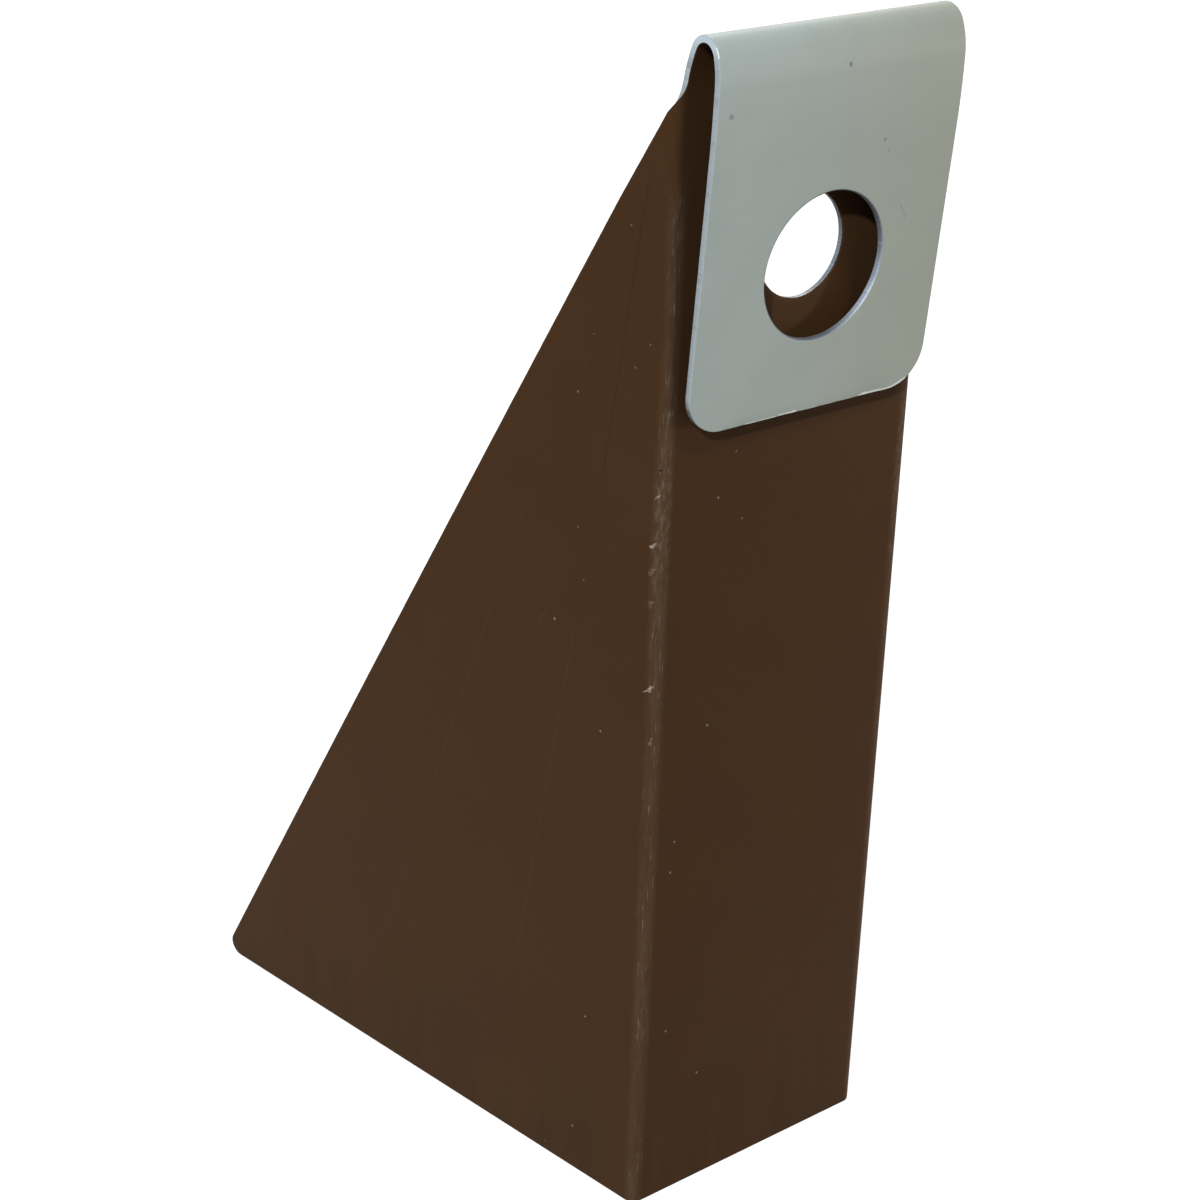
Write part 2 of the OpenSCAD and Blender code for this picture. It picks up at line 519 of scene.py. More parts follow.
@dataclass
class FoldedSheet:
    """The wedge's one piece: a blank with rounded cut edges, folded and rolled over.

    The skins are grids of the blank, held back by edge_r from its true outline. A wall
    with rounded shoulders runs round the outline and round both holes and joins them.
    """

    blank: Blank = field(default_factory=Blank)
    uneven: Unevenness = field(default_factory=Unevenness)
    edge_r: float = 0.07
    punch_r: float = 0.13
    shoulder_steps: int = 4
    wall_steps: int = 4
    strip_half_columns: int = 18
    fold_columns: int = 15
    flange_columns: int = 24
    heel_rows: int = 13
    low_rows: int = 56
    relief_rows: int = 9
    hole_rows: int = 40
    ring_rows: int = 12
    rows_per_radian: float = 20.0
    plate_rows: int = 24
    corner_steps: int = 14
    edge_columns: int = 26
    flat_rows: int = 5
    ring_margin: float = 14.2
    ring_spread: float = 1.6
    side_columns: tuple[float, float, float] = (0.96, 0.985, 1.0)
    merge: float = 4e-7

    def __post_init__(self) -> None:
        """Works out the lines of the blank that its grids share."""
        blank = self.blank
        self.folded = FoldedBlank(blank, self.uneven)
        screw = mount("screw_hole")
        access = mount("access_hole")
        self.screw_r = screw["dims"]["r_mm"]
        self.access_r = access["dims"]["r_mm"]
        self.screw = np.array([0.0, screw["pos_m"][2] / MM]) + self.uneven.screw_off
        self.access = np.array([0.0, self.folded.along_plate(access["pos_m"])]) + self.uneven.access_off
        self.cut_drop = self.edge_r * np.hypot(1.0, blank.crossing_rise)
        relief = blank.relief_r + self.edge_r
        self.tab_start = blank.relief_v - np.sqrt(relief ** 2 - blank.relief_r ** 2)
        even = np.linspace(0.0, self.side_columns[0], self.strip_half_columns)
        self.columns = both_ways(np.append(even, self.side_columns[1:]))
        self.strip_columns = self.columns * blank.half_w
        self.ring_low = self.screw[1] - self.ring_margin
        self.ring_high = self.screw[1] + self.ring_margin
        self.heel_s = blank.flange_l - blank.heel_r / np.tan(np.radians(90 - blank.wedge_angle) / 2)
        self.heel_turn = np.radians(np.linspace(-90.0, blank.wedge_angle, self.heel_rows))
        self.shares = np.linspace(0.0, 1.0, self.flange_columns)
        heel_top = blank.heel_r + (blank.heel_r - self.edge_r) * np.sin(np.radians(blank.wedge_angle))
        self.seam = np.concatenate([
            np.linspace(self.edge_r, heel_top, self.heel_rows),
            np.linspace(heel_top, self.ring_low, self.low_rows)[1:],
            np.linspace(self.ring_low, self.ring_high, self.hole_rows)[1:],
            np.linspace(self.ring_high, self.tab_start, self.relief_rows)[1:],
        ])
        self.heel_last = self.heel_rows - 1
        self.ring_first = self.heel_rows + self.low_rows - 2
        self.ring_last = self.ring_first + self.hole_rows - 1

    def crossing(self, beyond: np.ndarray) -> np.ndarray:
        """Gives the skins' edge where the cut crosses a long fold.

        Near the tab it is the relief's arc, of radius relief_r + edge_r about a centre
        relief_r beside the tab's side: v = relief_v - sqrt(radius^2 - (relief_r - beyond)^2).
        Further out it is the line that climbs at crossing_rise, lowered by cut_drop.

        Args:
            beyond: distance across the blank past the start of the fold.

        Returns:
            The edge's height there.
        """
        blank = self.blank
        line = blank.crest_v + blank.crossing_rise * (blank.fold_l - beyond) - self.cut_drop
        radius = blank.relief_r + self.edge_r
        arc = blank.relief_v - np.sqrt(radius ** 2 - (blank.relief_r - beyond) ** 2)
        leaves = blank.relief_r - radius * np.cos(np.arctan(1 / blank.crossing_rise))
        return np.where(beyond < leaves, arc, line)

    def crossing_way(self, points: np.ndarray) -> np.ndarray:
        """Gives the way from the skins' edge to the true cut across the right long fold.

        On the relief it runs to the arc's centre, and on the line square to it.

        Args:
            points: points of the skins' edge.

        Returns:
            The ways, each of length 1.
        """
        blank = self.blank
        centre = np.array([blank.half_w + blank.relief_r, blank.relief_v])
        towards = unit(centre - points)
        square = unit(np.array([blank.crossing_rise, 1.0]))
        return np.where(towards[:, 1:] > square[1], square, towards)

    def half_width(self, v: np.ndarray) -> np.ndarray:
        """Gives half the skins' width up the tab: out to the relief's arc, then to the side.

        Below relief_v it is half_w + relief_r - sqrt(radius^2 - (relief_v - v)^2), the arc
        of radius relief_r + edge_r. Above, it is half_w - edge_r.

        Args:
            v: heights on the blank.

        Returns:
            Half the width at each of them.
        """
        blank = self.blank
        radius = blank.relief_r + self.edge_r
        below = np.clip(blank.relief_v - v, 0.0, blank.relief_v - self.tab_start)
        return blank.half_w + blank.relief_r - np.sqrt(radius ** 2 - below ** 2)

    def flange_rows(self) -> tuple[np.ndarray, np.ndarray]:
        """Gives a flange's rows: where each starts at the fold and ends at the outline.

        The ends follow the heel's arc first and then the sloping edge, both held back by
        edge_r, up to the slanting cut.

        Returns:
            The rows' starts and ends as (u, v), for the flange on the right.
        """
        blank = self.blank
        flat_u = blank.half_w + blank.fold_l
        top = blank.crest_v - self.cut_drop
        height = self.edge_r + (self.seam - self.edge_r) * (top - self.edge_r) / (self.seam[-1] - self.edge_r)
        arc = (flat_u + self.heel_s, blank.heel_r) + (blank.heel_r - self.edge_r) * bearing(self.heel_turn)
        inset = self.edge_r / np.cos(np.radians(blank.wedge_angle))
        meet_s = max(0.0, ((blank.flange_l - inset) * blank.rise - top)
                     / (blank.rise - blank.flange_notch_slope))
        meet_v = top - blank.flange_notch_slope * meet_s
        share = self.seam[self.heel_last:] - self.seam[self.heel_last]
        slope_v = arc[-1, 1] + share / share[-1] * (meet_v - arc[-1, 1])
        slope_u = flat_u + np.maximum(blank.flange_l - inset - slope_v / blank.rise, 0.0)
        return pairs(flat_u, height), np.concatenate([arc, pairs(slope_u, slope_v)[1:]])

    def fold_grid(self) -> np.ndarray:
        """Gives the right long fold's grid: columns round the fold, rows up to the cut.

        Returns:
            The corners, of shape (rows, columns, 2).
        """
        beyond = np.linspace(0.0, self.blank.fold_l, self.fold_columns)
        top = self.crossing(beyond)
        share = (self.seam - self.edge_r) / (self.seam[-1] - self.edge_r)
        height = self.edge_r + share[:, None] * (top - self.edge_r)[None, :]
        return pairs(self.blank.half_w + beyond, height)

    def tab_rows(self) -> np.ndarray:
        """Gives the tab's rows from its relief over the bends to the access hole's ring.

        Returns:
            The rows' v, closer together where a bend is tighter.
        """
        rows = [np.linspace(self.tab_start, self.blank.relief_v, self.relief_rows)[:-1]]
        start = self.blank.relief_v
        end = self.blank.root_v
        for bend in self.blank.bends:
            end += bend.length
            steps = int(np.ceil((end - start) / bend.radius * self.rows_per_radian)) + 2
            rows.append(np.linspace(start, end, steps)[:-1])
            start = end
        rows.append(np.linspace(start, self.access[1] - self.ring_margin, self.flat_rows))
        return np.concatenate(rows)

    def tab_grid(self) -> np.ndarray:
        """Gives the tab's grid, each row as wide as the tab is there."""
        rows = self.tab_rows()[:, None]
        return pairs(self.half_width(rows) * self.columns, rows)

    def ring(self, outline: np.ndarray, centre: np.ndarray, radius: float) -> np.ndarray:
        """Rules a ring of rows from a hole to an outline, each row straight out.

        Args:
            outline: the closed outline's points, first and last the same.
            centre: the hole's centre.
            radius: the hole's radius, with its edge's rounding.

        Returns:
            The corners, with the hole's own circle as the first column.
        """
        shares = np.linspace(0.0, 1.0, self.ring_rows) ** self.ring_spread
        return ruled(centre + radius * unit(outline - centre), outline, shares)

    def screw_outline(self) -> np.ndarray:
        """Gives the rectangle round the screw hole, along the grids that it joins.

        Returns:
            The closed outline's points, first and last the same.
        """
        low = pairs(self.strip_columns, self.seam[self.ring_first])
        high = pairs(self.strip_columns, self.seam[self.ring_last])[::-1]
        rise = self.seam[self.ring_first:self.ring_last + 1]
        right = pairs(self.blank.half_w, rise)
        left = right[::-1] * MIRROR
        return np.concatenate([low, right[1:], high[1:], left[1:]])

    def plate_end(self) -> tuple[np.ndarray, np.ndarray, np.ndarray]:
        """Gives the skins' outline round the front plate's right corner and half its edge.

        Returns:
            The corner's points, the ways straight out from them, and the edge's points from
            the corner to the middle.
        """
        blank = self.blank
        ways = bearing(np.radians(np.linspace(0.0, 90.0, self.corner_steps)))
        centre = np.array([blank.half_w - blank.corner_r, blank.end_v - blank.corner_r])
        edge = pairs(np.linspace(centre[0], 0.0, self.edge_columns)[1:], blank.end_v - self.edge_r)
        return centre + (blank.corner_r - self.edge_r) * ways, ways, edge

    def plate_side(self, start: float) -> np.ndarray:
        """Gives the heights up the front plate's side, from a start to its corner."""
        return np.linspace(start, self.blank.end_v - self.blank.corner_r, self.plate_rows)[:-1]

    def access_outline(self) -> np.ndarray:
        """Gives the outline round the access hole: the plate's sides, corners and edge.

        Returns:
            The closed outline's points, first and last the same.
        """
        side = self.plate_side(self.access[1] - self.ring_margin)
        corner, _, edge = self.plate_end()
        right = np.concatenate([pairs(self.blank.half_w - self.edge_r, side), corner, edge])
        left = right[::-1] * MIRROR
        return np.concatenate([right, left[1:], self.tab_grid()[-1][1:]])

    def outline(self) -> tuple[np.ndarray, np.ndarray]:
        """Gives the skins' outline and the way from it to the blank's true outline.

        The true outline is the skins' outline + edge_r times this way. On straight edges
        and arcs the way is square to the edge, and at sharp corners it reaches their point.

        Returns:
            Points and ways, both of shape (n, 2), once round with the first point again.
        """
        blank = self.blank
        starts, ends = self.flange_rows()
        slope = np.radians(blank.wedge_angle)
        cut = np.array([0.0, self.cut_drop / self.edge_r])
        low_columns = self.strip_columns[self.strip_columns >= 0.0]
        fold = self.fold_grid()
        flange_low = ruled(starts[:1], ends[:1], self.shares)[0]
        flange_top = ruled(starts[-1:], ends[-1:], self.shares)[0]
        tip_s = max(0.0, (blank.flange_l * blank.rise - blank.crest_v)
                    / (blank.rise - blank.flange_notch_slope))
        tip = np.array([blank.half_w + blank.fold_l + tip_s, (blank.flange_l - tip_s) * blank.rise])
        relief = self.tab_grid()[1:self.relief_rows, -1]
        rows = self.tab_rows()[self.relief_rows:]
        side = np.concatenate([rows, self.plate_side(rows[-1])[1:]])
        corner, corner_ways, edge = self.plate_end()
        parts = [
            (pairs(low_columns, self.seam[0]), (0.0, -1.0)),
            (fold[0, 1:], (0.0, -1.0)),
            (flange_low[1:-1], (0.0, -1.0)),
            (ends[:self.heel_rows], bearing(self.heel_turn)),
            (ends[self.heel_rows:-1], bearing(slope)),
            (ends[-1:], (tip - ends[-1]) / self.edge_r),
            (flange_top[-2:0:-1], cut),
            (fold[-1, -1:], cut),
            (fold[-1, -2::-1], self.crossing_way(fold[-1, -2::-1])),
            (relief, self.crossing_way(relief)),
            (pairs(blank.half_w - self.edge_r, side), (1.0, 0.0)),
            (corner, corner_ways),
            (edge, (0.0, 1.0)),
        ]
        points = np.concatenate([at for at, _ in parts])
        ways = np.concatenate([np.broadcast_to(way, at.shape) for at, way in parts])
        points = np.concatenate([points, points[-2::-1] * MIRROR])
        ways = np.concatenate([ways, ways[-2::-1] * MIRROR])
        return points, ways

    def wall(self, points: np.ndarray, ways: np.ndarray, wave: np.ndarray, radius: float,
             coats: tuple[Coat, Coat, Coat]) -> tuple[np.ndarray, np.ndarray, np.ndarray]:
        """Carries the cut edge's profile along an outline.

        The profile leaves the topcoat on a quarter round, reach = radius sin a and
        depth = radius (1 - cos a), crosses the sheet and ends on the same round at the
        backcoat.

        Args:
            points: the skins' outline.
            ways: the way from it to the true outline.
            wave: how far the cut strays outwards, in millimetres, at each point.
            radius: the round's radius.
            coats: the finish of the first round, the cut and the last round.

        Returns:
            The wall's (u, v), its depths and the finish of its rows.
        """
        turn = np.linspace(0.0, np.pi / 2, self.shoulder_steps)
        shoulder = np.sin(turn)
        drop = radius * (1 - np.cos(turn))
        across = np.linspace(radius, self.blank.sheet_t - radius, self.wall_steps)[1:-1]
        reach = np.concatenate([shoulder, np.ones_like(across), shoulder[::-1]])
        depth = np.concatenate([drop, across, self.blank.sheet_t - drop[::-1]])
        out = reach[:, None] * (radius + wave[None, :])
        flat = points[None, :, :] + out[..., None] * ways[None, :, :]
        finish = np.full(len(reach) - 1, int(coats[1]))
        finish[:self.shoulder_steps - 1] = int(coats[0])
        finish[1 - self.shoulder_steps:] = int(coats[2])
        return flat, np.broadcast_to(depth[:, None], out.shape), finish

    def edge_wave(self, points: np.ndarray) -> np.ndarray:
        """Gives how far the cut edge strays: most on the plate's edge, none at the root.

        Args:
            points: the outline's (u, v).

        Returns:
            The stray at each point, in millimetres.
        """
        uneven = self.uneven
        u, v = points[:, 0], points[:, 1]
        near_root = np.clip(np.abs(v - self.blank.root_v) / uneven.calm_by_root, 0.0, 1.0)
        on_edge = np.clip(v - self.blank.end_v + 1.0, 0.0, 1.0)
        fine = ripple(u * uneven.edge_ripple_slant + v, uneven.edge_ripples)
        broad = ripple(u, uneven.plate_ripples)
        return near_root * uneven.edge_wave * fine + on_edge * uneven.plate_wave * broad

    def mesh(self) -> bpy.types.Mesh:
        """Builds both skins and the walls between them.

        Returns:
            The sheet's closed mesh.
        """
        patches = Patchwork(self.folded)
        starts, ends = self.flange_rows()
        flange = ruled(starts, ends, self.shares)
        fold = self.fold_grid()
        screw_ring = self.ring(self.screw_outline(), self.screw, self.screw_r + self.punch_r)
        access_ring = self.ring(self.access_outline(), self.access, self.access_r + self.punch_r)
        skins = [
            grid(self.strip_columns, self.seam[:self.ring_first + 1]),
            screw_ring,
            grid(self.strip_columns, self.seam[self.ring_last:]),
            self.tab_grid(),
            access_ring,
        ]
        for side in Side:
            skins.append(fold * (side.value, 1.0))
            skins.append(flange * (side.value, 1.0))
        for depth, coat in ((0.0, Coat.TOP), (self.blank.sheet_t, Coat.BACK)):
            for flat in skins:
                patches.add(flat, depth, coat)
        points, ways = self.outline()
        patches.add(*self.wall(points, ways, self.edge_wave(points), self.edge_r,
                               (Coat.TOP, Coat.CUT, Coat.BACK)))
        for ring, centre in ((screw_ring, self.screw), (access_ring, self.access)):
            inwards = unit(centre - ring[:, 0])
            turn = np.arctan2(inwards[:, 1], inwards[:, 0])
            wave = self.uneven.edge_wave * ripple(turn, self.uneven.punch_lobes)
            patches.add(*self.wall(ring[:, 0], inwards, wave, self.punch_r,
                                   (Coat.TOP, Coat.PUNCHED, Coat.PUNCHED)))
        return patches.mesh("folded_sheet_coated", self.merge)

    def build(self) -> bpy.types.Object:
        """Makes the piece and gives it its four finishes.

        Returns:
            The piece, which stands for the solid sheet.
        """
        piece = bpy.data.objects.new("folded_sheet_coated", self.mesh())
        bpy.context.scene.collection.objects.link(piece)
        normals = piece.modifiers.new("flat_faces_lead", "WEIGHTED_NORMAL")
        normals.mode = "FACE_AREA"
        normals.weight = 80
        for finish in (TopCoat(self.blank), BackCoat(self.blank), CutEdge(), PunchedEdge()):
            piece.data.materials.append(finish.material())
        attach(piece, BODY)
        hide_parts(NODE)
        return piece


@dataclass(frozen=True)
class Mark:
    """A scratch or speck on the blank: its two ends, half width and strength."""

    start: tuple[float, float]
    end: tuple[float, float]
    half_width: float
    strength: float


@dataclass(frozen=True)
class Grain:
    """A noise pattern on the blank: its scale across and along, its detail and roughness."""

    across: float
    along: float
    detail: float = 2.0
    roughness: float = 0.5


class ShaderGraph:
    """Writes a material's or a world's nodes one after another and joins their sockets."""

    def __init__(self, owner: bpy.types.Material | bpy.types.World) -> None:
        """Starts with an output and nothing else.

        Args:
            owner: the new material or world.
        """
        self.owner = owner
        owner.use_nodes = True
        self.tree = owner.node_tree
        self.tree.nodes.clear()
        world = isinstance(owner, bpy.types.World)
        self.output = self.node("ShaderNodeOutputWorld" if world else "ShaderNodeOutputMaterial")

    def node(self, kind: str, **settings: object) -> bpy.types.Node:
        """Adds a node and sets its properties.

        Args:
            kind: the node's type.
            settings: its properties by name.

        Returns:
            The node.
        """
        node = self.tree.nodes.new(kind)
        for name, value in settings.items():
            setattr(node, name, value)
        return node

    def feed(self, socket: bpy.types.NodeSocket, value: object) -> None:
        """Joins a socket to another node's output, or sets its own value.

        Args:
            socket: the input to feed.
            value: an output, a number, or a tuple of three for a vector or an opaque colour.
        """
        if isinstance(value, bpy.types.NodeSocket):
            self.tree.links.new(value, socket)
        elif isinstance(value, tuple) and len(value) == 3 and socket.type == "RGBA":
            socket.default_value = (*value, 1.0)
        else:
            socket.default_value = value

    def math(self, operation: str, *values: object, clamp: bool = False) -> bpy.types.NodeSocket:
        """Adds a Math node.

        Args:
            operation: what it does to its inputs.
            values: its inputs in order, each an output or a number.
            clamp: whether the result is held between 0 and 1.

        Returns:
            The result.
        """
        node = self.node("ShaderNodeMath", operation=operation, use_clamp=clamp)
        for socket, value in zip(node.inputs, values):
            self.feed(socket, value)
        return node.outputs[0]

    def times(self, first: object, second: object) -> bpy.types.NodeSocket:
        """Multiplies two numbers."""
        return self.math("MULTIPLY", first, second)

    def vector(self, operation: str, *values: object) -> bpy.types.NodeSocket:
        """Adds a Vector Math node.

        Args:
            operation: what it does to its inputs.
            values: its inputs in order, each an output or a tuple of three.

        Returns:
            Its vector, or its number for a length, a distance or a dot product.
        """
        node = self.node("ShaderNodeVectorMath", operation=operation)
        for socket, value in zip(node.inputs, values):
            self.feed(socket, value)
        number = operation in ("LENGTH", "DISTANCE", "DOT_PRODUCT")
        return node.outputs["Value" if number else "Vector"]

    def scaled(self, value: object, factor: object) -> bpy.types.NodeSocket:
        """Multiplies a colour or coordinates.

        Args:
            value: what is multiplied, an output or a tuple of three.
            factor: one number or output for all three parts, or a tuple with one for each.

        Returns:
            The product.
        """
        if isinstance(factor, tuple):
            return self.vector("MULTIPLY", value, factor)
        node = self.node("ShaderNodeVectorMath", operation="SCALE")
        self.feed(node.inputs[0], value)
        self.feed(node.inputs["Scale"], factor)
        return node.outputs["Vector"]

    def split(self, at: bpy.types.NodeSocket) -> tuple[bpy.types.NodeSocket, ...]:
        """Parts coordinates or a colour into three numbers.

        Args:
            at: the coordinates or the colour.

        Returns:
            The three outputs.
        """
        node = self.node("ShaderNodeSeparateXYZ")
        self.feed(node.inputs[0], at)
        return tuple(node.outputs)

    def shaken(self, at: bpy.types.NodeSocket, scale: float, reach: float) -> bpy.types.NodeSocket:
        """Moves coordinates about, so that marks have ragged edges.

        Args:
            at: coordinates in millimetres.
            scale: scale of the noise that moves them, per millimetre.
            reach: twice the furthest that it moves a point along u or v.

        Returns:
            The moved coordinates.
        """
        node = self.node("ShaderNodeTexNoise")
        self.feed(node.inputs["Vector"], at)
        self.feed(node.inputs["Scale"], scale)
        offset = self.vector("SUBTRACT", node.outputs["Color"], (0.5, 0.5, 0.5))
        return self.vector("ADD", at, self.scaled(offset, (reach, reach, 0.0)))

    def grain(self, at: bpy.types.NodeSocket, grain: Grain) -> bpy.types.NodeSocket:
        """Adds a Noise texture.

        Args:
            at: coordinates in millimetres.
            grain: the pattern.

        Returns:
            Its value, about 0.5 on average.
        """
        node = self.node("ShaderNodeTexNoise", noise_dimensions="3D")
        for name, value in (("Vector", self.scaled(at, (grain.across, grain.along, 0.0))), ("Scale", 1.0),
                            ("Detail", grain.detail), ("Roughness", grain.roughness)):
            self.feed(node.inputs[name], value)
        return node.outputs["Fac"]

    def between(self, value: object, low: float, high: float, to_low: float = 0.0,
                to_high: float = 1.0, smooth: bool = True) -> bpy.types.NodeSocket:
        """Maps low..high onto to_low..to_high and holds the ends.

        With t the share of the way from low to high, the result is the same share of the
        way from to_low to to_high, or 3 t^2 - 2 t^3 of it where it is smooth.

        Args:
            value: an output or a number.
            low: the value at which the result starts.
            high: the value at which it ends, which may be the smaller one.
            to_low: the result at low and before it.
            to_high: the result at high and past it.
            smooth: whether the result eases in and out.

        Returns:
            The result.
        """
        kind = "SMOOTHSTEP" if smooth else "LINEAR"
        node = self.node("ShaderNodeMapRange", interpolation_type=kind, clamp=True)
        for name, number in (("Value", value), ("From Min", low), ("From Max", high),
                             ("To Min", to_low), ("To Max", to_high)):
            self.feed(node.inputs[name], number)
        return node.outputs["Result"]

    def ramp(self, value: object, stops: Pairs, smooth: bool = True) -> bpy.types.NodeSocket:
        """Runs from the first stop's result to the second's, each stop a (value, result)."""
        (low, to_low), (high, to_high) = stops
        return self.between(value, low, high, to_low, to_high, smooth)

    def blend(self, share: object, first: object, second: object) -> bpy.types.NodeSocket:
        """Mixes two colours: (1 - share) first + share second.

        Args:
            share: from 0 to 1.
            first: the colour at share 0.
            second: the colour at share 1.

        Returns:
            The mixed colour.
        """
        node = self.node("ShaderNodeMix", data_type="RGBA", clamp_factor=True)
        self.feed(node.inputs[0], share)
        self.feed(node.inputs[6], first)
        self.feed(node.inputs[7], second)
        return node.outputs[2]

    def most(self, *values: bpy.types.NodeSocket) -> bpy.types.NodeSocket:
        """Finds the largest of several values.

        Args:
            values: the outputs to compare.

        Returns:
            The largest at each point.
        """
        result = values[0]
        for value in values[1:]:
            result = self.math("MAXIMUM", result, value)
        return result

    def bump(self, height: bpy.types.NodeSocket, distance: float, strength: float = 1.0,
             under: bpy.types.NodeSocket | None = None) -> bpy.types.NodeSocket:
        """Adds a Bump node.

        Args:
            height: the height, from 0 to 1.
            distance: how far out a height of 1 lies, in metres.
            strength: how much of the bump counts.
            under: the normal to bend, or None for the surface's own.

        Returns:
            The bent normal.
        """
        node = self.node("ShaderNodeBump")
        self.feed(node.inputs["Height"], height)
        self.feed(node.inputs["Distance"], distance)
        self.feed(node.inputs["Strength"], strength)
        if under is not None:
            self.feed(node.inputs["Normal"], under)
        return node.outputs["Normal"]

    def seen(self) -> bpy.types.NodeSocket:
        """Returns 1 for rays from the camera, in reflections and through glass, else 0."""
        path = self.node("ShaderNodeLightPath")
        return self.most(*[path.outputs[name] for name in SEEN_RAYS])

    def place(self) -> tuple[bpy.types.NodeSocket, ...]:
        """Returns the object's x, y and z, in metres."""
        return self.split(self.node("ShaderNodeTexCoord").outputs["Object"])

    def blank_uv(self) -> bpy.types.NodeSocket:
        """Returns the blank's (u, v, 0) in millimetres."""
        return self.node("ShaderNodeUVMap", uv_map="blank").outputs["UV"]

    def stroke(self, at: bpy.types.NodeSocket, mark: Mark) -> bpy.types.NodeSocket:
        """Draws one mark: its strength on its line, falling to 0 at its half width.

        Args:
            at: coordinates in millimetres.
            mark: the mark's ends, width and strength.

        Returns:
            The mark's cover.
        """
        start = (mark.start[0], mark.start[1], 0.0)
        run = (mark.end[0] - mark.start[0], mark.end[1] - mark.start[1], 0.0)
        away = self.vector("SUBTRACT", at, start)
        length_2 = run[0] ** 2 + run[1] ** 2
        if length_2 > 0.0:
            share = self.math("DIVIDE", self.vector("DOT_PRODUCT", away, run), length_2, clamp=True)
            away = self.vector("SUBTRACT", away, self.scaled(run, share))
        distance = self.vector("LENGTH", away)
        return self.between(distance, mark.half_width * 0.25, mark.half_width, mark.strength, 0.0)

    def strokes(self, at: bpy.types.NodeSocket, marks: tuple[Mark, ...]) -> bpy.types.NodeSocket:
        """Draws several marks and returns the strongest at each point."""
        return self.most(*[self.stroke(at, mark) for mark in marks])

    def principled(self, **values: object) -> None:
        """Adds the surface's shader and joins it to the output.

        Args:
            values: what feeds its sockets, by their names with underscores for spaces.
        """
        node = self.node("ShaderNodeBsdfPrincipled")
        for name, value in values.items():
            self.feed(node.inputs[name.replace("_", " ")], value)
        self.tree.links.new(node.outputs["BSDF"], self.output.inputs["Surface"])


@dataclass(frozen=True)
class SheetMap:
    """Finds places on the blank from where they lie on the folded wedge."""

    blank: Blank

    def flange(self, back: float, up: float) -> tuple[float, float]:
        """A place on the left flange: back from its fold and up from its bottom edge."""
        return (-(self.blank.half_w + self.blank.fold_l + back), up)

    def plate(self, across: float, down: float) -> tuple[float, float]:
        """A place on the front plate: across from its middle and down from its last bend."""
        return (across, self.blank.plate_v + down)

    def scratch(self, ends: tuple[tuple[float, float], tuple[float, float]], half_width: float,
                strength: float) -> Mark:
        """A scratch on the left flange, with its ends given back and up."""
        return Mark(self.flange(*ends[0]), self.flange(*ends[1]), half_width, strength)

    def speck(self, at: tuple[float, float], radius: float, strength: float) -> Mark:
        """A round speck at a place of the blank."""
        return Mark(at, at, radius, strength)


